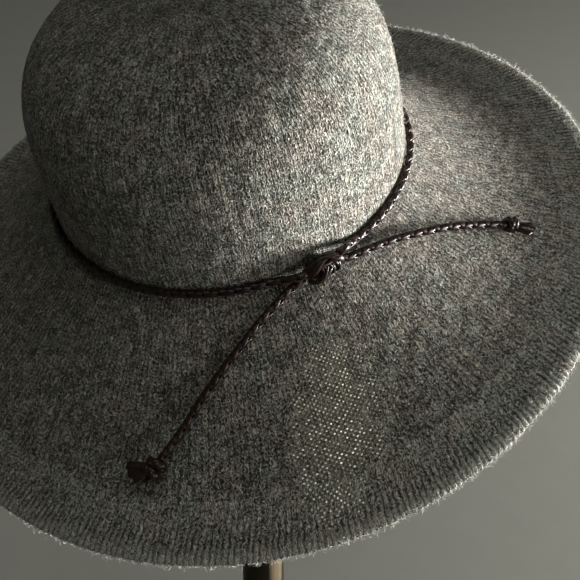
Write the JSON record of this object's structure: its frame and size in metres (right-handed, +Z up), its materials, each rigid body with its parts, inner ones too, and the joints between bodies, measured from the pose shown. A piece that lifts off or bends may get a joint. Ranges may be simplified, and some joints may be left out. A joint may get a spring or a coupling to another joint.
{
  "type": "wide-brim hat on a plain stand",
  "caption": "Wide-brim knitted wool hat with a round open crown and a braided leather cord tied round it, resting tilted on a plain round post stand.",
  "frame": {"origin": "middle of the underside of the stand's base, on the surface that it stands on", "axes": "+Z up along the stand's post, -Y towards the front of the hat, +X to the wearer's left as seen from the front, the side where the hat sits higher"},
  "size_m": [0.3889, 0.3917, 0.6228],
  "materials": {
    "wool": "fulled grey melange wool knit, matt and slightly hairy",
    "leather": "dark brown braided leather lace, waxed, half gloss",
    "stand_metal": "dark aged bronze tone, satin"
  },
  "bodies": {
    "root": {"hat_body": "wool", "cord_band": "leather", "cord_knot": "leather", "cord_tail_left": "leather", "cord_tail_right": "leather", "end_knot_left": "leather", "end_knot_right": "leather", "stand_base": "stand_metal", "stand_post": "stand_metal", "stand_cap": "stand_metal"}
  },
  "joints": []
}
